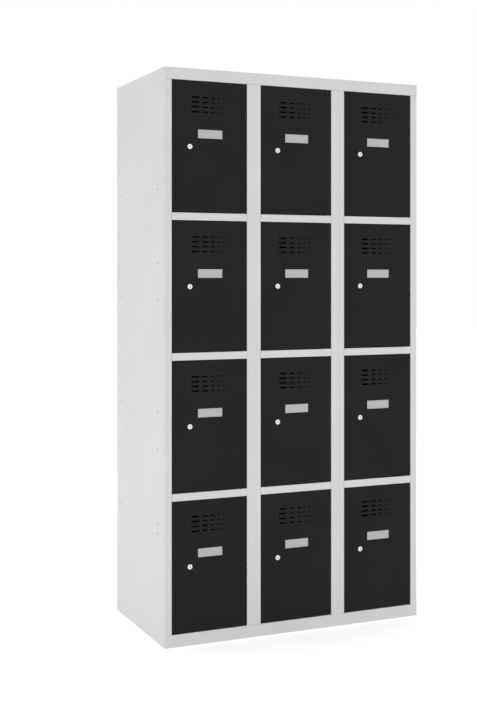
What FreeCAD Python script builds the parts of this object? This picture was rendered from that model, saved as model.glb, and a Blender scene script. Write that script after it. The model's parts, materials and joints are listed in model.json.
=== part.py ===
import FreeCAD, Part
import math
import os

# Overall sizes, in millimetres
HEIGHT = 1800.0
WIDTH = 900.0
DEPTH = 500.0
COLUMN_LETTERS = "abc"
ROWS = 4

# Sheet metal
SHEET = 0.8
DOOR_SHEET = 1.0
BEND_INSIDE = 0.7
EDGE_FLANGE = 15.0
TRAY_FLANGE = 20.0
SEAM = 0.4

# Front frame
TOP_RAIL = 37.0
MID_RAIL = 23.5
BOTTOM_RAIL = 39.0
STILE = 47.0
STOP_LIP = 15.0
HINGE_LIP = 10.0

# Doors
DOOR_DEPTH = 18.0
DOOR_RECESS = 1.0
DOOR_GAP = 1.5
HINGE_GAP = 2.0
DOOR_EDGE_RADIUS = 1.5
DOOR_LIP = 12.0
DOOR_LIP_END = 3.0

# Rubber buffers on the stop lips, two for each door
BUFFER_RADIUS = 4.0
BUFFER_THICK = 1.7
BUFFER_ROUND = 0.6
BUFFER_FROM_END = 60.0
BUFFER_SPACE = 0.3

# Stiffener behind each door
STIFFENER_WIDTH = 32.0
STIFFENER_CROWN = 16.0
STIFFENER_HEIGHT = 9.0
STIFFENER_END = 22.0
STIFFENER_HINGE_SPACE = 20.0

# Ventilation slots, placed from the top left corner of the opening: a ratio is from one column to the next
VENT_LEFT = 65.3
VENT_TOP = 52.1
VENT_LENGTH = 26.0
VENT_LENGTH_RATIO = 0.714
VENT_HEIGHT = 5.4
VENT_HEIGHT_RATIO = 0.81
VENT_SPACE = 10.3
VENT_SPACE_RATIO = 0.925
VENT_PITCH = 15.1
VENT_ROWS = 4
VENT_COLUMNS = 6

# Label holder, placed from the top left corner of the opening
LABEL_LEFT = 86.1
LABEL_TOP = 152.7
LABEL_WIDTH = 81.5
LABEL_HEIGHT = 27.0
LABEL_THICK = 1.5
LABEL_BASE = 0.5
LABEL_RIM = 2.0
LABEL_CORNER = 1.0
CARD_THICK = 0.7

# Cam lock, placed from the top left corner of the opening
LOCK_LEFT = 59.6
LOCK_DOWN = 207.0
LOCK_CAP_RADIUS = 8.0
LOCK_CAP_THICK = 2.0
LOCK_CAP_CHAMFER = 0.6
LOCK_BODY_RADIUS = 6.0
LOCK_PLUG_RADIUS = 4.0
PLUG_SINK = 0.3
KEY_SLOT_WIDTH = 1.8
KEY_SLOT_HEIGHT = 6.4
KEY_SLOT_DEPTH = 9.0
NUT_ACROSS_FLATS = 16.0
NUT_THICK = 4.0
CAM_THICK = 2.0
CAM_HALF_WIDTH = 7.0
CAM_SPACE = 1.2
SHANK_SIDE = 5.0
SCREW_HEAD_RADIUS = 4.0
SCREW_HEAD_THICK = 2.5
SCREW_RADIUS = 1.5
SCREW_LENGTH = 6.0

# Hinge pins and bushes
PIN_RADIUS = 2.5
PIN_REACH = 12.0
PIN_TAIL = 3.0
COLLAR_RADIUS = 4.5
COLLAR_THICK = 0.8
PIVOT_FROM_EDGE = 10.0
PIVOT_FROM_FACE = 5.5
BUSH_RADIUS = 4.0
BUSH_HEIGHT = 14.0

# Holes in the side panels and rivets of the shelves
HOLE_FROM_FRONT = 66.0
HOLE_FROM_BACK = 54.0
HOLE_RADIUS = 3.0
LOW_HOLE_HEIGHT = 345.5
OTHER_LAYOUTS = (3, 5)
RIVET_RADIUS = 2.0
RIVET_HEAD_RADIUS = 3.6
RIVET_HEAD_THICK = 0.8

# Clearances
RUNNING_FIT = 0.05
LOOSE_FIT = 0.1
LIP_SPACE = 0.6
SHELF_REAR_SPACE = 1.5
CAM_FACE_SPACE = 0.3
OVERRUN = 5.0

# Derived places
front = -DEPTH / 2
rear = DEPTH / 2
left = -WIDTH / 2
right = WIDTH / 2
columns = len(COLUMN_LETTERS)
column_pitch = WIDTH / columns
opening_width = column_pitch - STILE
door_field = HEIGHT - TOP_RAIL - BOTTOM_RAIL
opening_height = (door_field - (ROWS - 1) * MID_RAIL) / ROWS
row_pitch = opening_height + MID_RAIL
frame_top = HEIGHT - TOP_RAIL
stop_depth = DOOR_RECESS + DOOR_DEPTH + BUFFER_SPACE + BUFFER_THICK
stop_back = stop_depth + SHEET
rail_return = stop_depth - LIP_SPACE
neck_depth = stop_back + LIP_SPACE
back_face = rear - SHEET
back_front = back_face - SHEET
pivot_x = opening_width - HINGE_GAP - PIVOT_FROM_EDGE
pivot_y = DOOR_RECESS + PIVOT_FROM_FACE
lock_z = opening_height - LOCK_DOWN


def vector(x, y, z):
    return FreeCAD.Vector(x, y, z)


def box(x0, x1, y0, y1, z0, z1):
    return Part.makeBox(x1 - x0, y1 - y0, z1 - z0, vector(x0, y0, z0))


def moved(shape, x, y, z):
    copy = shape.copy()
    copy.translate(vector(x, y, z))
    return copy


def column_left(column):
    return left + column * column_pitch + STILE / 2


def row_bottom(row):
    return frame_top - opening_height - row * row_pitch


def rod(x, y, z0, z1, radius):
    return Part.makeCylinder(radius, z1 - z0, vector(x, y, z0))


def rod_along_y(x, y0, y1, z, radius):
    return Part.makeCylinder(radius, y1 - y0, vector(x, y0, z), vector(0, 1, 0))


def rod_along_x(x0, x1, y, z, radius):
    return Part.makeCylinder(radius, x1 - x0, vector(x0, y, z), vector(1, 0, 0))


def bend(before, corner, after, thickness):
    into = (corner - before).normalize()
    out = (after - corner).normalize()
    turn = 1 if into.x * out.y - into.y * out.x > 0 else -1
    angle = into.getAngle(out)
    near = BEND_INSIDE + thickness if turn > 0 else BEND_INSIDE
    far = near - turn * thickness
    run = near * math.tan(angle / 2)
    start = corner - into * run
    end = corner + out * run
    centre = start + vector(-into.y, into.x, 0) * (turn * near)
    spokes = [(start - centre).normalize(), None, (end - centre).normalize()]
    spokes[1] = (spokes[0] + spokes[2]).normalize()
    return [[centre + spoke * radius for spoke in spokes] for radius in (near, far)]


def folded(points, thickness):
    """A bent sheet in plan: the points run along one face and the sheet lies to their left."""
    path = [vector(x, y, 0) for x, y in points]
    bends = [bend(*path[i - 1 : i + 2], thickness) for i in range(1, len(path) - 1)]
    ends = []
    for at, step in ((path[0], path[1] - path[0]), (path[-1], path[-1] - path[-2])):
        step.normalize()
        ends.append((at, at + vector(-step.y, step.x, 0) * thickness))
    sides = []
    for side in (0, 1):
        edges = []
        at = ends[0][side]
        for arcs in bends:
            start, middle, end = arcs[side]
            edges.append(Part.makeLine(at, start))
            edges.append(Part.Arc(start, middle, end).toShape())
            at = end
        edges.append(Part.makeLine(at, ends[1][side]))
        sides.append(edges)
    caps = [Part.makeLine(*ends[0]), Part.makeLine(*ends[1])]
    wire = Part.Wire(Part.__sortEdges__(sides[0] + sides[1] + caps))
    return Part.Face(wire)


def upright(points, z0, z1, thickness=SHEET):
    """A bent sheet that stands on its plan, points as x and y."""
    return moved(folded(points, thickness).extrude(vector(0, 0, z1 - z0)), 0, 0, z0)


def across(points, x0, x1):
    """A bent sheet that runs along x, points as y and z."""
    solid = folded(points, SHEET).extrude(vector(0, 0, x1 - x0))
    solid.rotate(vector(0, 0, 0), vector(1, 1, 1), 120)
    return moved(solid, x0, 0, 0)


def inward(points, y0, y1):
    """A bent sheet that runs along y, points as x and z."""
    solid = folded(points, SHEET).extrude(vector(0, 0, y1 - y0))
    solid.rotate(vector(0, 0, 0), vector(1, 0, 0), 90)
    return moved(solid, 0, y1, 0)


def joined(first, *others):
    return first.fuse(list(others)).removeSplitter()


def save(node, *solids):
    shape = solids[0] if len(solids) == 1 else Part.makeCompound(list(solids))
    shape.exportStep("parts/" + node + ".step")


def hole_heights(rows):
    pitch = (door_field + MID_RAIL) / rows
    return [frame_top + MID_RAIL / 2 - pitch * k for k in range(1, rows)]


def side_holes(x):
    heights = [z for rows in OTHER_LAYOUTS for z in hole_heights(rows)] + [LOW_HOLE_HEIGHT]
    cuts = []
    for y in (front + HOLE_FROM_FRONT, rear - HOLE_FROM_BACK):
        for z in heights:
            cuts.append(rod_along_x(x - OVERRUN, x + OVERRUN, y, z, HOLE_RADIUS))
        for z in hole_heights(ROWS):
            cuts.append(rod_along_x(x - OVERRUN, x + OVERRUN, y, z, RIVET_RADIUS + LOOSE_FIT))
    return cuts


os.makedirs("parts", exist_ok=True)

# Side panels: the fold at the front is the outer stile
frame_bottom_end = BOTTOM_RAIL + SEAM
frame_top_end = frame_top - SEAM
left_plan = [
    (left + EDGE_FLANGE, rear),
    (left, rear),
    (left, front),
    (left + STILE / 2, front),
    (left + STILE / 2, front + stop_depth),
    (left + STILE / 2 + STOP_LIP, front + stop_depth),
]
right_plan = [
    (right - STILE / 2 + HINGE_LIP, front + stop_back),
    (right - STILE / 2, front + stop_back),
    (right - STILE / 2, front),
    (right, front),
    (right, rear),
    (right - EDGE_FLANGE, rear),
]
for node, plan, x0 in (("left_side_panel", left_plan, left), ("right_side_panel", right_plan, right - SHEET)):
    panel = joined(
        upright(plan, frame_bottom_end, frame_top_end),
        box(x0, x0 + SHEET, front, rear, 0, frame_bottom_end),
        box(x0, x0 + SHEET, front, rear, frame_top_end, HEIGHT),
    )
    save(node, panel.cut(side_holes(x0)))

# Partitions, each with the middle stile welded to its front edge
partitions = []
for column in range(1, columns):
    middle = left + column * column_pitch
    face = middle - SHEET / 2
    sheet_plan = [
        (middle + EDGE_FLANGE, back_front),
        (face, back_front),
        (face, front + SHEET),
    ]
    stile_plan = [
        (face, front + stop_back),
        (middle - STILE / 2, front + stop_back),
        (middle - STILE / 2, front),
        (middle + STILE / 2, front),
        (middle + STILE / 2, front + stop_depth),
        (middle + STILE / 2 + STOP_LIP, front + stop_depth),
    ]
    partition = upright(sheet_plan, BOTTOM_RAIL, HEIGHT - SHEET)
    rail_notch = box(face - OVERRUN, face + OVERRUN, front, front + neck_depth, frame_top_end, HEIGHT)
    rivet_cuts = []
    for y in (front + HOLE_FROM_FRONT, rear - HOLE_FROM_BACK):
        for z in hole_heights(ROWS):
            rivet_cuts.append(rod_along_x(face - OVERRUN, face + OVERRUN, y, z, RIVET_RADIUS + LOOSE_FIT))
    stile = upright(stile_plan, frame_bottom_end, frame_top_end)
    partitions += [partition.cut([rail_notch] + rivet_cuts), stile]
save("partitions", *partitions)

# Back panel, clear of the round inside of the bends that it fits between
bend_space = SHEET + BEND_INSIDE + LOOSE_FIT
back_left = left + bend_space
back_top = HEIGHT - bend_space
save("back_panel", box(back_left, -back_left, back_front, back_face, BOTTOM_RAIL, back_top))

# Top panel and floor panel
inner_left = left + SHEET
inner_right = right - SHEET
pivot_columns = [column_left(column) + pivot_x for column in range(columns)]
top_profile = [
    (rear, frame_top),
    (rear, HEIGHT),
    (front, HEIGHT),
    (front, frame_top),
    (front + rail_return, frame_top),
]
floor_profile = [
    (rear - rail_return, 0),
    (rear, 0),
    (rear, BOTTOM_RAIL),
    (front, BOTTOM_RAIL),
    (front, 0),
    (front + rail_return, 0),
]
for node, profile, deck in (("top_panel", top_profile, HEIGHT), ("floor_panel", floor_profile, BOTTOM_RAIL)):
    low = deck - TRAY_FLANGE
    flange_front = front + neck_depth
    flange_rear = back_front - SHELF_REAR_SPACE
    tray = joined(
        across(profile, inner_left, inner_right),
        box(inner_left, inner_left + SHEET, flange_front, flange_rear, low, deck),
        box(inner_right - SHEET, inner_right, flange_front, flange_rear, low, deck),
    )
    level = frame_top if deck == HEIGHT else BOTTOM_RAIL
    pin_holes = [
        rod(x, front + pivot_y, level - OVERRUN, level + OVERRUN, PIN_RADIUS + RUNNING_FIT)
        for x in pivot_columns
    ]
    save(node, tray.cut(pin_holes))

# Shelves: the front fold of each is the rail between two doors
shelf_rear = back_front - SHELF_REAR_SPACE
for column, letter in enumerate(COLUMN_LETTERS):
    open_left = column_left(column)
    open_right = open_left + opening_width
    wall_left = inner_left if column == 0 else left + column * column_pitch + SHEET / 2
    wall_right = inner_right if column == columns - 1 else left + (column + 1) * column_pitch - SHEET / 2
    band_left = open_left + SEAM
    band_right = open_right - SEAM
    band_profile = [
        (shelf_rear, -TRAY_FLANGE),
        (shelf_rear, 0),
        (front, 0),
        (front, -MID_RAIL),
        (front + rail_return, -MID_RAIL),
    ]
    left_profile = [(band_left + OVERRUN, 0), (wall_left, 0), (wall_left, -TRAY_FLANGE)]
    right_profile = [(wall_right, -TRAY_FLANGE), (wall_right, 0), (band_right - OVERRUN, 0)]
    shelf = joined(
        across(band_profile, band_left, band_right),
        inward(left_profile, front + neck_depth, shelf_rear),
        inward(right_profile, front + neck_depth, shelf_rear),
    )
    lip_notch = box(
        band_left - OVERRUN,
        open_left + STOP_LIP + LIP_SPACE,
        front + stop_depth - LIP_SPACE,
        front + neck_depth,
        -OVERRUN,
        OVERRUN,
    )
    cuts = [lip_notch]
    cuts.append(
        rod(open_left + pivot_x, front + pivot_y, -MID_RAIL - OVERRUN, OVERRUN, PIN_RADIUS + RUNNING_FIT)
    )
    for y in (front + HOLE_FROM_FRONT, rear - HOLE_FROM_BACK):
        cuts.append(
            rod_along_x(
                wall_left - OVERRUN, wall_left + OVERRUN, y, -MID_RAIL / 2, RIVET_RADIUS + LOOSE_FIT
            )
        )
        cuts.append(
            rod_along_x(
                wall_right - OVERRUN, wall_right + OVERRUN, y, -MID_RAIL / 2, RIVET_RADIUS + LOOSE_FIT
            )
        )
    shelf = shelf.cut(cuts)
    levels = [row_bottom(row) for row in range(ROWS - 1)]
    save("shelves_" + letter, *[moved(shelf, 0, 0, z) for z in levels])

# Rivets that hold the shelves
rivets = []
for boundary in range(columns + 1):
    middle = left + boundary * column_pitch
    grip_left = middle if boundary == 0 else middle - SHEET / 2 - SHEET
    grip_right = middle if boundary == columns else middle + SHEET / 2 + SHEET
    if boundary == 0:
        grip_right = middle + SHEET + SHEET
    if boundary == columns:
        grip_left = middle - SHEET - SHEET
    for y in (front + HOLE_FROM_FRONT, rear - HOLE_FROM_BACK):
        for z in hole_heights(ROWS):
            rivet = joined(
                rod_along_x(grip_left, grip_right, y, z, RIVET_RADIUS),
                rod_along_x(grip_left - RIVET_HEAD_THICK, grip_left, y, z, RIVET_HEAD_RADIUS),
                rod_along_x(grip_right, grip_right + RIVET_HEAD_THICK, y, z, RIVET_HEAD_RADIUS),
            )
            rivets.append(rivet)
save("shelf_rivets", *rivets)

# Hinge pins, placed from the lower left front corner of an opening
lower_pin = joined(
    rod(pivot_x, pivot_y, -PIN_TAIL, DOOR_GAP + PIN_REACH, PIN_RADIUS),
    rod(pivot_x, pivot_y, 0, COLLAR_THICK, COLLAR_RADIUS),
)
collar_base = opening_height + SHEET
upper_pin = joined(
    rod(pivot_x, pivot_y, opening_height - DOOR_GAP - PIN_REACH, collar_base + PIN_TAIL, PIN_RADIUS),
    rod(pivot_x, pivot_y, collar_base, collar_base + COLLAR_THICK, COLLAR_RADIUS),
)

# Door pan, placed from the same corner
door_left = DOOR_GAP
door_right = opening_width - HINGE_GAP
door_low = DOOR_GAP
door_high = opening_height - DOOR_GAP
door_back = DOOR_RECESS + DOOR_DEPTH
door_inside = DOOR_RECESS + DOOR_SHEET


def rounded_front(x0, x1, y0, y1, z0, z1, radius):
    block = box(x0, x1, y0, y1, z0, z1)
    edges = []
    for edge in block.Edges:
        ends = [vertex.Point for vertex in edge.Vertexes]
        along_y = abs(ends[0].y - ends[1].y) > radius
        on_front = abs(ends[0].y - y0) < radius and abs(ends[1].y - y0) < radius
        if along_y or on_front:
            edges.append(edge)
    return block.makeFillet(radius, edges)


def slot(length, height, depth):
    """An obround bar along y that starts at its left end, centred in height."""
    half = height / 2
    left_end = rod_along_y(half, 0, depth, 0, half)
    if length - height < RUNNING_FIT:
        return left_end
    middle = box(half, length - half, 0, depth, -half, half)
    right_end = rod_along_y(length - half, 0, depth, 0, half)
    return joined(middle, left_end, right_end)


pan = rounded_front(door_left, door_right, DOOR_RECESS, door_back, door_low, door_high, DOOR_EDGE_RADIUS)
hollow = rounded_front(
    door_left + DOOR_SHEET,
    door_right - DOOR_SHEET,
    door_inside,
    door_back + OVERRUN,
    door_low + DOOR_SHEET,
    door_high - DOOR_SHEET,
    DOOR_EDGE_RADIUS - DOOR_SHEET,
)
lip_front = door_back - DOOR_SHEET
lip_low = door_low + DOOR_LIP_END
lip_high = door_high - DOOR_LIP_END
pan = joined(
    pan.cut(hollow),
    box(door_left, door_left + DOOR_LIP, lip_front, door_back, lip_low, lip_high),
    box(door_right - DOOR_LIP, door_right, lip_front, door_back, lip_low, lip_high),
)
vent_cuts = []
vent_x = VENT_LEFT
for vent_column in range(VENT_COLUMNS):
    vent_length = VENT_LENGTH * VENT_LENGTH_RATIO**vent_column
    vent_height = min(VENT_HEIGHT * VENT_HEIGHT_RATIO**vent_column, vent_length)
    cutter = slot(vent_length, vent_height, DOOR_DEPTH)
    for line in range(VENT_ROWS):
        vent_z = opening_height - VENT_TOP - line * VENT_PITCH
        vent_cuts.append(moved(cutter, vent_x, DOOR_RECESS - DOOR_SHEET, vent_z))
    vent_x = vent_x + vent_length + VENT_SPACE * VENT_SPACE_RATIO**vent_column
lock_hole = rod_along_y(LOCK_LEFT, 0, door_inside + OVERRUN, lock_z, LOCK_BODY_RADIUS + LOOSE_FIT)
pin_way = rod(pivot_x, pivot_y, 0, opening_height, PIN_RADIUS + RUNNING_FIT)
pan = pan.cut(vent_cuts + [lock_hole, pin_way])

crown_left = door_right - STIFFENER_HINGE_SPACE - (STIFFENER_WIDTH + STIFFENER_CROWN) / 2
stiffener_plan = [
    (door_right - STIFFENER_HINGE_SPACE - STIFFENER_WIDTH, door_inside),
    (crown_left, door_inside),
    (crown_left, door_inside + STIFFENER_HEIGHT),
    (crown_left + STIFFENER_CROWN, door_inside + STIFFENER_HEIGHT),
    (crown_left + STIFFENER_CROWN, door_inside),
    (door_right - STIFFENER_HINGE_SPACE, door_inside),
]
stiffener = upright(stiffener_plan, door_low + STIFFENER_END, door_high - STIFFENER_END)

bush = rod(pivot_x, pivot_y, 0, BUSH_HEIGHT, BUSH_RADIUS)
bush = bush.cut(rod(pivot_x, pivot_y, -OVERRUN, BUSH_HEIGHT + OVERRUN, PIN_RADIUS + RUNNING_FIT))
lower_bush = moved(bush, 0, 0, door_low + DOOR_SHEET)
upper_bush = moved(bush, 0, 0, door_high - DOOR_SHEET - BUSH_HEIGHT)

# Rubber buffers, on the lip that the door closes against
buffer_face = stop_depth - BUFFER_THICK
buffer = rod_along_y(STOP_LIP / 2, buffer_face, stop_depth, 0, BUFFER_RADIUS)
buffer_rim = [edge for edge in buffer.Edges if edge.BoundBox.YMax < buffer_face + BUFFER_THICK / 2]
buffer = buffer.makeFillet(BUFFER_ROUND, buffer_rim)
lower_buffer = moved(buffer, 0, 0, BUFFER_FROM_END)
upper_buffer = moved(buffer, 0, 0, opening_height - BUFFER_FROM_END)

# Label holder with its blank card
label_low = opening_height - LABEL_TOP - LABEL_HEIGHT
label_right = LABEL_LEFT + LABEL_WIDTH
label_high = label_low + LABEL_HEIGHT
label_front = DOOR_RECESS - LABEL_THICK
card_seat = DOOR_RECESS - LABEL_BASE
plate = box(LABEL_LEFT, label_right, label_front, DOOR_RECESS, label_low, label_high)
corners = [edge for edge in plate.Edges if abs(edge.Vertexes[0].Y - edge.Vertexes[1].Y) > LABEL_THICK / 2]
plate = plate.makeFillet(LABEL_CORNER, corners)
card = box(
    LABEL_LEFT + LABEL_RIM,
    label_right - LABEL_RIM,
    card_seat - CARD_THICK,
    card_seat,
    label_low + LABEL_RIM,
    label_high - LABEL_RIM,
)
pocket = box(
    LABEL_LEFT + LABEL_RIM,
    label_right - LABEL_RIM,
    label_front - OVERRUN,
    card_seat,
    label_low + LABEL_RIM,
    label_high - LABEL_RIM,
)
holder = plate.cut(pocket)

# Lock body: housing and nut
cap_front = DOOR_RECESS - LOCK_CAP_THICK
cam_front = stop_back + CAM_SPACE
housing_end = cam_front - CAM_FACE_SPACE
cap = rod_along_y(LOCK_LEFT, cap_front, DOOR_RECESS, lock_z, LOCK_CAP_RADIUS)
rim = [edge for edge in cap.Edges if abs(edge.CenterOfMass.y - cap_front) < LOCK_CAP_THICK / 2]
rim = [edge for edge in rim if len(edge.Vertexes) == 1]
cap = cap.makeChamfer(LOCK_CAP_CHAMFER, rim)
housing = joined(cap, rod_along_y(LOCK_LEFT, DOOR_RECESS, housing_end, lock_z, LOCK_BODY_RADIUS))
plug_way = rod_along_y(
    LOCK_LEFT, cap_front - OVERRUN, cam_front + OVERRUN, lock_z, LOCK_PLUG_RADIUS + RUNNING_FIT
)
housing = housing.cut(plug_way)
corner_radius = NUT_ACROSS_FLATS / 2 / math.cos(math.pi / 6)
hexagon = []
for k in range(7):
    turn = math.pi * k / 3
    hexagon.append(
        vector(LOCK_LEFT + corner_radius * math.cos(turn), door_inside, lock_z + corner_radius * math.sin(turn))
    )
nut = Part.Face(Part.makePolygon(hexagon)).extrude(vector(0, NUT_THICK, 0))
nut = nut.cut(
    rod_along_y(
        LOCK_LEFT, door_inside - OVERRUN, door_inside + NUT_THICK + OVERRUN, lock_z, LOCK_BODY_RADIUS + LOOSE_FIT
    )
)

# Lock plug, cam and cam screw: the cam hangs down at rest
plug_front = cap_front + PLUG_SINK
cam_back = cam_front + CAM_THICK
shank_half = SHANK_SIDE / 2
plug = joined(
    rod_along_y(LOCK_LEFT, plug_front, cam_front, lock_z, LOCK_PLUG_RADIUS),
    box(
        LOCK_LEFT - shank_half,
        LOCK_LEFT + shank_half,
        cam_front,
        cam_back,
        lock_z - shank_half,
        lock_z + shank_half,
    ),
)
key_slot = box(
    LOCK_LEFT - KEY_SLOT_WIDTH / 2,
    LOCK_LEFT + KEY_SLOT_WIDTH / 2,
    plug_front - OVERRUN,
    plug_front + KEY_SLOT_DEPTH,
    lock_z - KEY_SLOT_HEIGHT / 2,
    lock_z + KEY_SLOT_HEIGHT / 2,
)
screw_tip = cam_back - SCREW_LENGTH
screw_way = rod_along_y(LOCK_LEFT, screw_tip - LOOSE_FIT, cam_back + OVERRUN, lock_z, SCREW_RADIUS + LOOSE_FIT)
plug = plug.cut([key_slot, screw_way])
cam_reach = LOCK_LEFT - STOP_LIP / 2
cam = slot(cam_reach + CAM_HALF_WIDTH, CAM_HALF_WIDTH * 2, CAM_THICK)
cam = moved(cam, -CAM_HALF_WIDTH, 0, 0)
cam.rotate(vector(0, 0, 0), vector(0, 1, 0), 90)
cam = moved(cam, LOCK_LEFT, cam_front, lock_z)
cam_hole_half = shank_half + LOOSE_FIT
cam = cam.cut(
    box(
        LOCK_LEFT - cam_hole_half,
        LOCK_LEFT + cam_hole_half,
        cam_front - OVERRUN,
        cam_back + OVERRUN,
        lock_z - cam_hole_half,
        lock_z + cam_hole_half,
    )
)
screw = joined(
    rod_along_y(LOCK_LEFT, screw_tip, cam_back, lock_z, SCREW_RADIUS),
    rod_along_y(LOCK_LEFT, cam_back, cam_back + SCREW_HEAD_THICK, lock_z, SCREW_HEAD_RADIUS),
)

# One of each for every compartment
pins = []
buffers = []
for column, letter in enumerate(COLUMN_LETTERS):
    for row in range(ROWS):
        place = (column_left(column), front, row_bottom(row))
        name = letter + str(row + 1)
        door_solids = (pan, stiffener, lower_bush, upper_bush)
        save("door_" + name, *[moved(solid, *place) for solid in door_solids])
        save("label_holder_" + name, *[moved(solid, *place) for solid in (holder, card)])
        save("lock_body_" + name, *[moved(solid, *place) for solid in (housing, nut)])
        save("lock_cam_" + name, *[moved(solid, *place) for solid in (plug, cam, screw)])
        pins += [moved(pin, *place) for pin in (lower_pin, upper_pin)]
        buffers += [moved(one, *place) for one in (lower_buffer, upper_buffer)]
save("hinge_pins", *pins)
save("door_buffers", *buffers)
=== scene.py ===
import json
import math

import bpy
from mathutils import Matrix, Vector


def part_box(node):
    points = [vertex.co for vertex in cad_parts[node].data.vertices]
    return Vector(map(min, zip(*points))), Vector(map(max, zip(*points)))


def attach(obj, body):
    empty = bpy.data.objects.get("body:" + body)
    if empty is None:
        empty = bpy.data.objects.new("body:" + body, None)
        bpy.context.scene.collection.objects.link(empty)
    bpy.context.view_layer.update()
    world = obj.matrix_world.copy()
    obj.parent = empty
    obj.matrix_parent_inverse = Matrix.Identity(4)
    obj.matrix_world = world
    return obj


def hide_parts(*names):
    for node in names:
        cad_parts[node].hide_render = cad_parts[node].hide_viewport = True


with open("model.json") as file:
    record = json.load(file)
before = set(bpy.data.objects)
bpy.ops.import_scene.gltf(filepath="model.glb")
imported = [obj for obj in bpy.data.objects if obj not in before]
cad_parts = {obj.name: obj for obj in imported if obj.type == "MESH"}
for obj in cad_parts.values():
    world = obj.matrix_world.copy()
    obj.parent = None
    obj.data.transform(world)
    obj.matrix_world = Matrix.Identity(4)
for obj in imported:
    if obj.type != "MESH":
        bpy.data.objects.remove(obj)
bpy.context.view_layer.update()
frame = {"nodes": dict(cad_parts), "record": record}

MM = 0.001
COMPARTMENTS = [letter + str(row) for letter in "abc" for row in (1, 2, 3, 4)]

# Camera, solved from the edges of the front and the side in the photograph
IMAGE_WIDTH = 477
IMAGE_HEIGHT = 728
FOCAL_PIXELS = 1245.4
AXIS_PIXEL_X = 297.87
AXIS_PIXEL_Y = 275.2
CAMERA_PLACE = (-1.7128, -3.9061, 1.1547)
CAMERA_YAW = 25.161
SENSOR = 36.0

# Cam lock: millimetres along its axis, outwards from the face of the door
TURNED_SIDES = 40
CAP_RADIUS = 8.0
CAP_THICK = 2.0
CAP_ROUND = 0.9
CAP_DISH_RADIUS = 5.2
CAP_DISH_DEPTH = 0.2
DISH_SLOPE = 0.25
PLUG_RADIUS = 4.0
PLUG_SPACE = 0.06
PLUG_SINK = 0.3
PLUG_ROUND = 0.25
PLUG_END = -22.0
BARREL_RADIUS = 6.0
BARREL_ROOT = 5.6
BARREL_END = -21.7
THREAD_START = -1.5
THREAD_PITCH = 1.0
THREAD_TURNS = 19
BARREL_FLAT = 5.3
NUT_BORE = 6.1
NUT_ACROSS_FLATS = 16.0
NUT_FACE = -1.0
NUT_BACK = -5.0
NUT_CHAMFER = 0.8
NUT_COUNTERSINK = 0.4
KEYWAY_WIDTH = 2.0
KEYWAY_HEIGHT = 6.4
KEYWAY_DEPTH = 9.0
KEYWAY_WARD = 0.5
KEYWAY_WARD_HALF = 0.9
CAM_BACK = -24.0
CAM_HALF_WIDTH = 7.0
CAM_REACH = 52.1
CAM_EDGE = 0.3
SHANK_HALF = 2.5
SHANK_HOLE_HALF = 2.6
SCREW_RADIUS = 4.0
SCREW_BACK = -26.5
SCREW_ROUND = 1.4
RECESS_LENGTH = 4.4
RECESS_WIDTH = 0.9
RECESS_DEPTH = 1.4

# Label holder; its width and height come from the frame
LABEL_THICK = 1.5
LABEL_BASE = 0.5
LABEL_RIM = 2.0
LABEL_CORNER = 1.0
LABEL_EDGE = 0.3
CARD_THICK = 0.5
CARD_SPACE = 0.3

# Blind rivets of the shelves, in the side panels and the partitions
RIVET_SIDES = 20
RIVET_HEAD = 3.6
RIVET_HEAD_THICK = 0.8
RIVET_ROUND = 0.7
RIVET_SHANK = 2.0
RIVET_TAIL = 3.3
RIVET_PIN_HOLE = 1.2
RIVET_PIN_SINK = 1.4
SIDE_GRIP = 1.6
PARTITION_GRIP = 2.4

# Room that a cutting tool runs past the metal, and the distances within which places and points are one
CUT_RUN = 1.0
NEAR = 0.1
MERGE = 0.002

# Patterns of the finishes: their sizes and depths, and the range that holds most of a noise's values
COAT_CLOUD = 220.0
COAT_WAVE = 160.0
COAT_WAVE_DEPTH = 0.8
# Real orange peel is about 1 mm across; it is drawn at 3 mm so that it shows
COAT_PEEL = 3.0
COAT_PEEL_DEPTH = 0.05
LINE_DEPTH = 0.02
NOISE_LOW = 0.3
NOISE_HIGH = 0.7

# Studio: metres, and levels where 1 is white
FLOOR_SIZE = 40.0
FLOOR_LIFT_MIRRORED = 0.1
FLOOR_LIFT_SEEN = 0.4
SURROUND_LEVEL = 0.86


def linear(hex_colour):
    """An sRGB hex colour as the linear colour that a shader takes."""
    channels = [int(hex_colour[i : i + 2], 16) / 255 for i in (1, 3, 5)]
    return [c / 12.92 if c <= 0.04045 else ((c + 0.055) / 1.055) ** 2.4 for c in channels] + [1.0]


def add(tree, kind, inputs=None, **settings):
    """Adds one node with its settings; an input is a plain value or another node's output."""
    made = tree.nodes.new(kind)
    for name, value in settings.items():
        setattr(made, name, value)
    for name, value in (inputs or {}).items():
        if isinstance(value, bpy.types.NodeSocket):
            tree.links.new(value, made.inputs[name])
        else:
            made.inputs[name].default_value = value
    return made


def new_material(name):
    material = bpy.data.materials.new(name)
    material.use_nodes = True
    material.node_tree.nodes.clear()
    return material, material.node_tree


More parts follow.
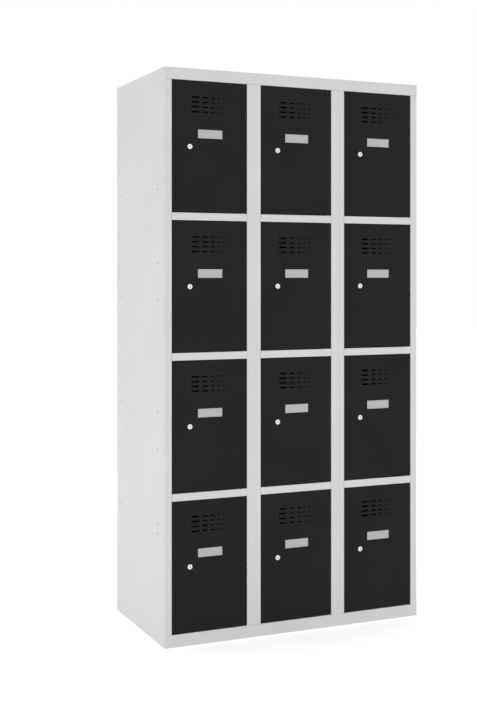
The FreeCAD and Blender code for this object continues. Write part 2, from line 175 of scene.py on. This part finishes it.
def powder_coat(name, colours, roughness, specular):
    """Powder coat on thin sheet: an even colour, a fine orange peel and the sheet's own slow waves."""
    material, tree = new_material(name)
    place = add(tree, "ShaderNodeTexCoord").outputs["Object"]
    cloud = add(tree, "ShaderNodeTexNoise", {"Vector": place, "Scale": 1 / (COAT_CLOUD * MM), "Detail": 2.0})
    tint = add(tree, "ShaderNodeValToRGB", {"Fac": cloud.outputs["Fac"]})
    tint.color_ramp.elements[0].position = NOISE_LOW
    tint.color_ramp.elements[0].color = linear(colours[0])
    tint.color_ramp.elements[1].position = NOISE_HIGH
    tint.color_ramp.elements[1].color = linear(colours[1])
    peel = add(tree, "ShaderNodeTexNoise", {"Vector": place, "Scale": 1 / (COAT_PEEL * MM), "Detail": 2.0})
    wave = add(tree, "ShaderNodeTexNoise", {"Vector": place, "Scale": 1 / (COAT_WAVE * MM), "Detail": 1.0})
    rough = add(
        tree,
        "ShaderNodeMapRange",
        {
            "Value": peel.outputs["Fac"],
            "From Min": NOISE_LOW,
            "From Max": NOISE_HIGH,
            "To Min": roughness - 0.05,
            "To Max": roughness + 0.05,
        },
    )
    waves = add(
        tree,
        "ShaderNodeBump",
        {"Height": wave.outputs["Fac"], "Strength": 0.3, "Distance": COAT_WAVE_DEPTH * MM},
    )
    skin = add(
        tree,
        "ShaderNodeBump",
        {
            "Height": peel.outputs["Fac"],
            "Strength": 0.25,
            "Distance": COAT_PEEL_DEPTH * MM,
            "Normal": waves.outputs["Normal"],
        },
    )
    shader = add(
        tree,
        "ShaderNodeBsdfPrincipled",
        {
            "Base Color": tint.outputs["Color"],
            "Roughness": rough.outputs["Result"],
            "Normal": skin.outputs["Normal"],
            "Specular IOR Level": specular,
        },
    )
    add(tree, "ShaderNodeOutputMaterial", {"Surface": shader.outputs["BSDF"]})
    return material


def worked_metal(name, colour, roughness, line_mm, stretch):
    """Bare or plated metal: fine lines from brushing, turning or plating break up its highlight."""
    material, tree = new_material(name)
    place = add(tree, "ShaderNodeTexCoord").outputs["Object"]
    drawn = add(tree, "ShaderNodeMapping", {"Vector": place, "Scale": stretch})
    line = add(
        tree,
        "ShaderNodeTexNoise",
        {"Vector": drawn.outputs["Vector"], "Scale": 1 / (line_mm * MM), "Detail": 3.0},
    )
    rough = add(
        tree,
        "ShaderNodeMapRange",
        {
            "Value": line.outputs["Fac"],
            "From Min": NOISE_LOW,
            "From Max": NOISE_HIGH,
            "To Min": roughness * 0.8,
            "To Max": roughness * 1.2,
        },
    )
    bump = add(
        tree,
        "ShaderNodeBump",
        {"Height": line.outputs["Fac"], "Strength": 0.2, "Distance": LINE_DEPTH * MM},
    )
    shader = add(
        tree,
        "ShaderNodeBsdfPrincipled",
        {
            "Base Color": linear(colour),
            "Metallic": 1.0,
            "Roughness": rough.outputs["Result"],
            "Normal": bump.outputs["Normal"],
        },
    )
    add(tree, "ShaderNodeOutputMaterial", {"Surface": shader.outputs["BSDF"]})
    return material


def matt_solid(name, colours, roughness, grain_mm, bump_mm):
    """A matt, non-metallic stuff with a small grain, such as card or rubber."""
    material, tree = new_material(name)
    place = add(tree, "ShaderNodeTexCoord").outputs["Object"]
    grain = add(tree, "ShaderNodeTexNoise", {"Vector": place, "Scale": 1 / (grain_mm * MM), "Detail": 4.0})
    tint = add(tree, "ShaderNodeValToRGB", {"Fac": grain.outputs["Fac"]})
    tint.color_ramp.elements[0].position = NOISE_LOW
    tint.color_ramp.elements[0].color = linear(colours[0])
    tint.color_ramp.elements[1].position = NOISE_HIGH
    tint.color_ramp.elements[1].color = linear(colours[1])
    bump = add(
        tree, "ShaderNodeBump", {"Height": grain.outputs["Fac"], "Strength": 0.4, "Distance": bump_mm * MM}
    )
    shader = add(
        tree,
        "ShaderNodeBsdfPrincipled",
        {
            "Base Color": tint.outputs["Color"],
            "Roughness": roughness,
            "Normal": bump.outputs["Normal"],
            "Specular IOR Level": 0.3,
        },
    )
    add(tree, "ShaderNodeOutputMaterial", {"Surface": shader.outputs["BSDF"]})
    return material


def use_material(piece, material):
    piece.data.materials.clear()
    piece.data.materials.append(material)


def take(*pieces):
    """Selects these objects alone; the first is the active one."""
    bpy.ops.object.select_all(action="DESELECT")
    for piece in pieces:
        piece.select_set(True)
    bpy.context.view_layer.objects.active = pieces[0]


def turned(profile, material, sides=TURNED_SIDES):
    """A piece turned about Z from radius and height pairs; one that starts at radius 0 is solid there."""
    solid = profile[0][0] == 0
    rings = profile[1:] if solid else profile
    bpy.ops.object.select_all(action="DESELECT")
    bpy.ops.mesh.primitive_circle_add(
        vertices=sides,
        radius=rings[0][0] * MM,
        fill_type="TRIFAN" if solid else "NOTHING",
        location=(0, 0, rings[0][1] * MM),
    )
    piece = bpy.context.active_object
    bpy.ops.object.mode_set(mode="EDIT")
    bpy.ops.mesh.select_mode(type="EDGE")
    if solid:
        bpy.ops.mesh.select_all(action="DESELECT")
        bpy.ops.mesh.select_non_manifold()
    for (radius, height), (next_radius, next_height) in zip(rings, rings[1:]):
        step = (0, 0, (next_height - height) * MM)
        growth = next_radius / radius
        bpy.ops.mesh.extrude_edges_move(TRANSFORM_OT_translate={"value": step})
        bpy.ops.transform.resize(value=(growth, growth, 1), center_override=(0, 0, 0))
    bpy.ops.mesh.select_all(action="SELECT")
    bpy.ops.mesh.remove_doubles(threshold=MERGE * MM)
    bpy.ops.mesh.normals_make_consistent(inside=False)
    bpy.ops.object.mode_set(mode="OBJECT")
    bpy.ops.object.transform_apply(location=True, rotation=False, scale=False)
    use_material(piece, material)
    return piece


def rounding(radius, height, size, steps=4):
    """Points round an outer top edge that ends at this radius and height."""
    turn = [math.radians(90 * (1 - k / steps)) for k in range(steps + 1)]
    return [(radius - size + size * math.cos(a), height - size + size * math.sin(a)) for a in turn]


def block(low, high, material):
    """A block between two corners, in millimetres, to be worked on."""
    low, high = Vector(low) * MM, Vector(high) * MM
    bpy.ops.object.select_all(action="DESELECT")
    bpy.ops.mesh.primitive_cube_add(size=1.0, location=(low + high) / 2, scale=high - low)
    bpy.ops.object.transform_apply(location=True, rotation=True, scale=True)
    piece = bpy.context.active_object
    use_material(piece, material)
    return piece


def select_faces(piece, test):
    """In edit mode, selects the faces whose centre and normal pass the test."""
    bpy.ops.mesh.select_mode(type="FACE")
    bpy.ops.mesh.select_all(action="DESELECT")
    bpy.ops.object.mode_set(mode="OBJECT")
    for face in piece.data.polygons:
        face.select = test(face.center, face.normal)
    bpy.ops.object.mode_set(mode="EDIT")


def select_edges(piece, test):
    """In edit mode, selects the edges whose two ends pass the test."""
    bpy.ops.mesh.select_mode(type="EDGE")
    bpy.ops.mesh.select_all(action="DESELECT")
    bpy.ops.object.mode_set(mode="OBJECT")
    spots = piece.data.vertices
    for edge in piece.data.edges:
        edge.select = test(*[spots[i].co for i in edge.vertices])
    bpy.ops.object.mode_set(mode="EDIT")


def upright(a, b):
    """Whether an edge between two points goes up."""
    return abs(a.z - b.z) > NEAR * MM


def level(a, b):
    """Whether an edge between two points lies flat."""
    return not upright(a, b)


def cut(piece, tool, operation="DIFFERENCE"):
    """Cuts one piece by another, which is used up; the cut faces keep the tool's finish."""
    work = piece.modifiers.new("cut", "BOOLEAN")
    work.operation = operation
    work.object = tool
    work.solver = "EXACT"
    work.material_mode = "TRANSFER"
    take(piece)
    bpy.ops.object.modifier_apply(modifier=work.name)
    bpy.data.objects.remove(tool)
    bpy.ops.object.mode_set(mode="EDIT")
    bpy.ops.mesh.select_all(action="SELECT")
    bpy.ops.mesh.remove_doubles(threshold=MERGE * MM)
    bpy.ops.object.mode_set(mode="OBJECT")


def joined(*pieces):
    take(*pieces)
    bpy.ops.object.join()
    return pieces[0]


def smooth(piece, angle=30):
    take(piece)
    bpy.ops.object.shade_smooth_by_angle(angle=math.radians(angle))
    return piece


def copy_to(model, name, place):
    """A copy of a finished piece with its own mesh, moved in that mesh."""
    piece = model.copy()
    piece.data = model.data.copy()
    piece.name = name
    bpy.context.scene.collection.objects.link(piece)
    piece.data.transform(place)
    return piece


# Finishes
# Light grey polyester powder coat, baked on: an even satin skin with a faint orange peel
frame_coat = powder_coat("light_grey_powder_coat", ("#D6D6D6", "#DADADA"), 0.5, 0.3)
# Anthracite powder coat: nearly black, low sheen, the same fine peel
door_coat = powder_coat("anthracite_powder_coat", ("#1E1E20", "#212123"), 0.55, 0.1)
# Anodised aluminium, brushed along its length: a soft, even silver grey
label_metal = worked_metal("satin_anodised_aluminium", "#BEBEC0", 0.45, 0.6, (0.05, 1.0, 1.0))
# Uncoated grey card: matt, with a short fibre
label_card = matt_solid("light_grey_card", ("#B8B8BA", "#BEBEC0"), 0.85, 1.2, 0.05)
# Polished chrome plate: bright, with a clear reflection
lock_chrome = worked_metal("polished_chrome_plate", "#F4F4F5", 0.1, 0.4, (1.0, 1.0, 1.0))
# Satin nickel plate on the cam and the shank: a little warmer and duller than chrome
lock_nickel = worked_metal("satin_nickel_plate", "#C9C8C4", 0.3, 0.5, (1.0, 1.0, 0.2))
# Walls of the keyway: unplated brass, given a very dark colour that paints in the shade inside the narrow
# slot
keyway_brass_shade = worked_metal("brass_with_painted_keyway_shade", "#3A352C", 0.6, 0.4, (1.0, 1.0, 1.0))
# Broken end of a rivet's steel pin and the walls of its sunk hole: a dark colour that is partly bare steel
# and partly painted shade in the hole
pin_and_hole_shade = worked_metal("pin_steel_and_painted_hole_shade", "#4A4846", 0.6, 0.5, (1.0, 1.0, 1.0))
# Bright zinc plate on pins, nuts and screws: bluish, slightly cloudy
zinc_plate = worked_metal("zinc_plated_steel", "#B4B6B8", 0.38, 0.8, (1.0, 1.0, 0.3))
# Black buffer rubber: dull, with a fine bloom
buffer_rubber = matt_solid("black_buffer_rubber", ("#1E1E1E", "#272727"), 0.75, 0.9, 0.04)

finishes = {
    "frame_paint": frame_coat,
    "door_paint": door_coat,
    "label_plate": label_metal,
    "lock_chrome": lock_chrome,
    "lock_nickel": lock_nickel,
    "zinc_steel": zinc_plate,
    "buffer_rubber": buffer_rubber,
}
for subpart in frame["record"]["subparts"]:
    use_material(frame["nodes"][subpart["node"]], finishes[subpart["material_slot"]])

# Lock housing: a chromed cap, a threaded barrel with two flats, and its nut
bore = PLUG_RADIUS + PLUG_SPACE
dish = CAP_THICK - CAP_DISH_DEPTH
housing_profile = [
    (bore, BARREL_END),
    (bore, dish - DISH_SLOPE),
    (bore + DISH_SLOPE, dish),
    (CAP_DISH_RADIUS, dish),
    (CAP_DISH_RADIUS + DISH_SLOPE, CAP_THICK),
]
housing_profile += rounding(CAP_RADIUS, CAP_THICK, CAP_ROUND)
housing_profile += [(CAP_RADIUS, 0), (BARREL_RADIUS, 0)]
for turn in range(THREAD_TURNS):
    crest = THREAD_START - turn * THREAD_PITCH
    housing_profile += [(BARREL_RADIUS, crest), (BARREL_ROOT, crest - THREAD_PITCH / 2)]
housing_profile += [(BARREL_ROOT, BARREL_END), (bore, BARREL_END)]
housing = turned(housing_profile, lock_chrome)
for side in (-1, 1):
    near, far = sorted((side * BARREL_FLAT, side * CAP_RADIUS * 2))
    flat = block((near, -CAP_RADIUS, BARREL_END - CUT_RUN), (far, CAP_RADIUS, 0), lock_chrome)
    cut(housing, flat)

corner = NUT_ACROSS_FLATS / 2 / math.cos(math.radians(30))
flank = NUT_ACROSS_FLATS / 2
nut = turned(
    [
        (NUT_BORE, NUT_BACK + NUT_COUNTERSINK),
        (NUT_BORE + NUT_COUNTERSINK, NUT_BACK),
        (flank, NUT_BACK),
        (corner + NUT_COUNTERSINK, NUT_BACK + NUT_CHAMFER),
        (corner + NUT_COUNTERSINK, NUT_FACE),
        (NUT_BORE + NUT_COUNTERSINK, NUT_FACE),
        (NUT_BORE, NUT_FACE - NUT_COUNTERSINK),
        (NUT_BORE, NUT_BACK + NUT_COUNTERSINK),
    ],
    zinc_plate,
)
bpy.ops.object.select_all(action="DESELECT")
bpy.ops.mesh.primitive_cylinder_add(
    vertices=6,
    radius=corner * MM,
    depth=(NUT_FACE - NUT_BACK + CUT_RUN) * MM,
    location=(0, 0, (NUT_FACE + NUT_BACK) / 2 * MM),
    rotation=(0, 0, math.radians(30)),
)
hexagon = bpy.context.active_object
bpy.ops.object.transform_apply(location=True, rotation=True, scale=True)
use_material(hexagon, zinc_plate)
cut(nut, hexagon, "INTERSECT")
lock_housing = smooth(joined(housing, nut))

# Lock core: the plug with its keyway, the cam on its square shank and the cam screw
plug_face = CAP_THICK - PLUG_SINK
plug = turned(
    [(0, PLUG_END), (PLUG_RADIUS, PLUG_END)]
    + rounding(PLUG_RADIUS, plug_face, PLUG_ROUND)[::-1]
    + [(0, plug_face)],
    lock_chrome,
)
half = KEYWAY_WIDTH / 2
# The keyway's cut walls take this block's dark colour, which is painted shade in the slot
keyway = block(
    (-half, -KEYWAY_HEIGHT / 2, plug_face - KEYWAY_DEPTH),
    (half, KEYWAY_HEIGHT / 2, plug_face + CUT_RUN),
    keyway_brass_shade,
)
bpy.ops.object.mode_set(mode="EDIT")
ward = KEYWAY_WARD_HALF * MM
for bend in (-ward, ward):
    bpy.ops.mesh.select_all(action="SELECT")
    bpy.ops.mesh.bisect(plane_co=(0, bend, 0), plane_no=(0, 1, 0))
select_edges(keyway, lambda a, b: max(abs(a.y), abs(b.y)) < ward + NEAR * MM and a.y * b.y > 0)
bpy.ops.transform.translate(value=(KEYWAY_WARD * MM, 0, 0))
bpy.ops.object.mode_set(mode="OBJECT")
cut(plug, keyway)

bpy.ops.object.select_all(action="DESELECT")
bpy.ops.mesh.primitive_circle_add(
    vertices=TURNED_SIDES, radius=CAM_HALF_WIDTH * MM, fill_type="NGON", location=(0, 0, CAM_BACK * MM)
)
cam = bpy.context.active_object
bpy.ops.object.transform_apply(location=True, rotation=False, scale=False)
use_material(cam, lock_nickel)
bpy.ops.object.mode_set(mode="EDIT")
bpy.ops.mesh.select_all(action="SELECT")
bpy.ops.mesh.extrude_region_move(TRANSFORM_OT_translate={"value": (0, 0, (PLUG_END - CAM_BACK) * MM)})
select_edges(cam, lambda a, b: max(a.y, b.y) < -NEAR * MM)
bpy.ops.transform.translate(value=(0, -CAM_REACH * MM, 0))
bpy.ops.mesh.select_all(action="SELECT")
bpy.ops.mesh.normals_make_consistent(inside=False)
select_edges(cam, level)
bpy.ops.mesh.bevel(offset=CAM_EDGE * MM, segments=2, affect="EDGES")
bpy.ops.object.mode_set(mode="OBJECT")
square = block(
    (-SHANK_HOLE_HALF, -SHANK_HOLE_HALF, CAM_BACK - CUT_RUN),
    (SHANK_HOLE_HALF, SHANK_HOLE_HALF, PLUG_END + CUT_RUN),
    lock_nickel,
)
cut(cam, square)
shank = block((-SHANK_HALF, -SHANK_HALF, CAM_BACK), (SHANK_HALF, SHANK_HALF, PLUG_END), lock_nickel)
bpy.ops.object.mode_set(mode="EDIT")
select_edges(shank, upright)
bpy.ops.mesh.bevel(offset=CAM_EDGE * MM, segments=2, affect="EDGES")
bpy.ops.object.mode_set(mode="OBJECT")

screw_profile = [(radius, -height) for radius, height in rounding(SCREW_RADIUS, -SCREW_BACK, SCREW_ROUND)]
screw_head = turned(
    [(0, CAM_BACK), (SCREW_RADIUS, CAM_BACK)] + screw_profile[::-1] + [(0, SCREW_BACK)], zinc_plate
)
for across, along in ((RECESS_LENGTH, RECESS_WIDTH), (RECESS_WIDTH, RECESS_LENGTH)):
    slot = block(
        (-across / 2, -along / 2, SCREW_BACK - CUT_RUN),
        (across / 2, along / 2, SCREW_BACK + RECESS_DEPTH),
        zinc_plate,
    )
    cut(screw_head, slot)
lock_core = smooth(joined(plug, cam, shank, screw_head))

# Label holder: a rimmed plate with a blank card in it
label_low, label_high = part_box("label_holder_a1")
label_width, _, label_height = (label_high - label_low) / MM
holder = block((0, 0, 0), (label_width, label_height, LABEL_THICK), label_metal)
bpy.ops.object.mode_set(mode="EDIT")
select_faces(holder, lambda centre, normal: normal.z > 0.9)
bpy.ops.mesh.inset(thickness=LABEL_RIM * MM)
bpy.ops.mesh.extrude_region_move(TRANSFORM_OT_translate={"value": (0, 0, (LABEL_BASE - LABEL_THICK) * MM)})
select_edges(holder, upright)
bpy.ops.mesh.bevel(offset=LABEL_CORNER * MM, segments=4, affect="EDGES")
rim_height = (LABEL_THICK - NEAR) * MM
select_faces(holder, lambda centre, normal: normal.z > 0.9 and centre.z > rim_height)
bpy.ops.mesh.region_to_loop()
bpy.ops.mesh.bevel(offset=LABEL_EDGE * MM, segments=2, affect="EDGES")
bpy.ops.object.mode_set(mode="OBJECT")
card_inset = LABEL_RIM + CARD_SPACE
card = block(
    (card_inset, card_inset, LABEL_BASE),
    (label_width - card_inset, label_height - card_inset, LABEL_BASE + CARD_THICK),
    label_card,
)
bpy.ops.object.mode_set(mode="EDIT")
select_edges(card, upright)
bpy.ops.mesh.bevel(offset=LABEL_CORNER * MM, segments=3, affect="EDGES")
bpy.ops.object.mode_set(mode="OBJECT")
label = smooth(joined(holder, card))

# One lock and one label for each door: a model's +Z faces the front, its +Y stands up
to_front = Matrix.Rotation(math.radians(90), 4, "X")
for name in COMPARTMENTS:
    low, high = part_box("lock_body_" + name)
    lock_spot = Vector(((low.x + high.x) / 2, low.y + CAP_THICK * MM, (low.z + high.z) / 2))
    place = Matrix.Translation(lock_spot) @ to_front
    body = copy_to(lock_housing, "lock_housing_" + name, place)
    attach(body, "door_" + name)
    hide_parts("lock_body_" + name)
    core = copy_to(lock_core, "lock_core_" + name, place)
    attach(core, "lock_" + name)
    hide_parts("lock_cam_" + name)
    low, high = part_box("label_holder_" + name)
    plate = copy_to(label, "label_" + name, Matrix.Translation((low.x, high.y, low.z)) @ to_front)
    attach(plate, "door_" + name)
    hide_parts("label_holder_" + name)
for model in (lock_housing, lock_core, label):
    bpy.data.objects.remove(model)


def blind_rivet(grip):
    """A set blind rivet: a low head, the sunk end of its broken pin, and the swollen tail."""
    edge = rounding(RIVET_TAIL, grip + RIVET_HEAD_THICK, RIVET_ROUND)
    tail = [(radius, -height) for radius, height in edge]
    piece = turned(
        [
            (0, RIVET_HEAD_THICK - RIVET_PIN_SINK),
            (RIVET_PIN_HOLE, RIVET_HEAD_THICK - RIVET_PIN_SINK),
            (RIVET_PIN_HOLE, RIVET_HEAD_THICK),
        ]
        + rounding(RIVET_HEAD, RIVET_HEAD_THICK, RIVET_ROUND)
        + [(RIVET_HEAD, 0), (RIVET_SHANK, 0), (RIVET_SHANK, -grip), (RIVET_TAIL, -grip)]
        + tail[::-1]
        + [(0, -grip - RIVET_HEAD_THICK)],
        frame_coat,
        RIVET_SIDES,
    )
    # The sunk pin hole, its walls and the pin's end, takes the dark colour: partly bare steel, partly
    # painted shade
    piece.data.materials.append(pin_and_hole_shade)
    bpy.ops.object.mode_set(mode="EDIT")
    hole, back = RIVET_PIN_HOLE * MM, -grip * MM
    select_faces(piece, lambda centre, normal: centre.xy.length < hole and centre.z > back)
    piece.active_material_index = 1
    bpy.ops.object.material_slot_assign()
    bpy.ops.object.mode_set(mode="OBJECT")
    return smooth(piece)


side_rivet = blind_rivet(SIDE_GRIP)
partition_rivet = blind_rivet(PARTITION_GRIP)
to_left = Matrix.Rotation(math.radians(-90), 4, "Y")
to_right = Matrix.Rotation(math.radians(90), 4, "Y")
left_partition = (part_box("shelves_a")[1].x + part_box("shelves_b")[0].x) / 2 / MM
right_partition = (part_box("shelves_b")[1].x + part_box("shelves_c")[0].x) / 2 / MM
head = Vector((RIVET_HEAD_THICK, RIVET_HEAD, RIVET_HEAD))
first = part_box("shelf_rivets")[0] / MM + head
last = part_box("shelf_rivets")[1] / MM - head
rivet_spots = [
    (side_rivet, first.x, to_left),
    (partition_rivet, left_partition - PARTITION_GRIP / 2, to_left),
    (partition_rivet, right_partition - PARTITION_GRIP / 2, to_left),
    (side_rivet, last.x, to_right),
]
rivets = []
for model, x, way in rivet_spots:
    for y in (first.y, last.y):
        for z in (last.z, (first.z + last.z) / 2, first.z):
            place = Matrix.Translation(Vector((x, y, z)) * MM) @ way
            rivets.append(copy_to(model, "rivet", place))
shelf_rivets = joined(*rivets)
shelf_rivets.name = "blind_rivets"
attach(shelf_rivets, "carcass")
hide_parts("shelf_rivets")
for model in (side_rivet, partition_rivet):
    bpy.data.objects.remove(model)


def background_ray(tree):
    """1 for a ray that sees the background directly, mirrored in bright metal or through glass."""
    path = add(tree, "ShaderNodeLightPath")
    seen = path.outputs["Is Camera Ray"]
    for kind in ("Is Glossy Ray", "Is Transmission Ray"):
        seen = add(tree, "ShaderNodeMath", {0: seen, 1: path.outputs[kind]}, operation="MAXIMUM").outputs[0]
    return seen


# Floor
bpy.ops.object.select_all(action="DESELECT")
bpy.ops.mesh.primitive_plane_add(size=FLOOR_SIZE, location=(0, 0, 0))
floor = bpy.context.active_object
floor.name = "studio_floor"
floor_white, tree = new_material("studio_floor_white")
diffuse = add(tree, "ShaderNodeBsdfDiffuse", {"Color": linear("#F4F4F4")})
# Mirrored in metal the floor is nearly white; seen directly it is lifted more, to leave a faint shadow
camera_ray = add(tree, "ShaderNodeLightPath").outputs["Is Camera Ray"]
lift = add(
    tree,
    "ShaderNodeMapRange",
    {"Value": camera_ray, "To Min": FLOOR_LIFT_MIRRORED, "To Max": FLOOR_LIFT_SEEN},
)
glow = add(tree, "ShaderNodeEmission", {"Color": linear("#FFFFFF"), "Strength": lift.outputs["Result"]})
both = add(tree, "ShaderNodeAddShader")
tree.links.new(diffuse.outputs[0], both.inputs[0])
tree.links.new(glow.outputs[0], both.inputs[1])
seen = add(tree, "ShaderNodeMixShader", {"Fac": background_ray(tree)})
tree.links.new(diffuse.outputs[0], seen.inputs[1])
tree.links.new(both.outputs[0], seen.inputs[2])
add(tree, "ShaderNodeOutputMaterial", {"Surface": seen.outputs[0]})
use_material(floor, floor_white)

# Studio light: an even white surround, two low soft boxes for the lower part, one above and one behind
world = bpy.data.worlds.new("studio_surround")
bpy.context.scene.world = world
world.use_nodes = True
world.node_tree.nodes.clear()
tree = world.node_tree
strength = add(
    tree, "ShaderNodeMapRange", {"Value": background_ray(tree), "To Min": SURROUND_LEVEL, "To Max": 1.0}
)
white = add(
    tree, "ShaderNodeBackground", {"Color": linear("#FFFFFF"), "Strength": strength.outputs["Result"]}
)
add(tree, "ShaderNodeOutputWorld", {"Surface": white.outputs[0]})


def soft_lamp(name, place, aim, width, height, power):
    """A soft box that lights the paint and is not itself mirrored in the bright metal."""
    lamp_data = bpy.data.lights.new(name, "AREA")
    lamp_data.shape = "RECTANGLE"
    lamp_data.size = width
    lamp_data.size_y = height
    lamp_data.energy = power
    lamp = bpy.data.objects.new(name, lamp_data)
    bpy.context.scene.collection.objects.link(lamp)
    lamp.location = place
    lamp.visible_camera = False
    lamp.visible_glossy = False
    lamp.rotation_euler = (Vector(aim) - Vector(place)).to_track_quat("-Z", "Y").to_euler()


soft_lamp("left_soft_box", place=(-3.0, 0.1, 0.2), aim=(-0.45, 0.0, 0.3), width=2.5, height=0.4, power=14.5)
soft_lamp("front_soft_box", place=(0.5, -3.2, 0.2), aim=(0.1, -0.25, 0.3), width=3.0, height=0.4, power=12.5)
soft_lamp("top_soft_box", place=(0.0, 0.0, 3.6), aim=(0.0, 0.0, 1.8), width=0.85, height=0.45, power=8.0)
soft_lamp("rear_soft_box", place=(0.0, 3.2, 0.5), aim=(0.0, 0.25, 0.9), width=0.85, height=0.4, power=8.0)

# Camera
camera_data = bpy.data.cameras.new("photo_camera")
camera_data.sensor_width = SENSOR
camera_data.sensor_fit = "AUTO"
camera_data.lens = FOCAL_PIXELS * SENSOR / IMAGE_HEIGHT
camera_data.shift_x = (IMAGE_WIDTH / 2 - AXIS_PIXEL_X) / IMAGE_HEIGHT
camera_data.shift_y = (AXIS_PIXEL_Y - IMAGE_HEIGHT / 2) / IMAGE_HEIGHT
camera_data.clip_end = 100.0
camera = bpy.data.objects.new("photo_camera", camera_data)
bpy.context.scene.collection.objects.link(camera)
camera.location = CAMERA_PLACE
camera.rotation_euler = (math.radians(90), 0, math.radians(-CAMERA_YAW))
bpy.context.scene.camera = camera
bpy.context.scene.view_settings.view_transform = "Standard"
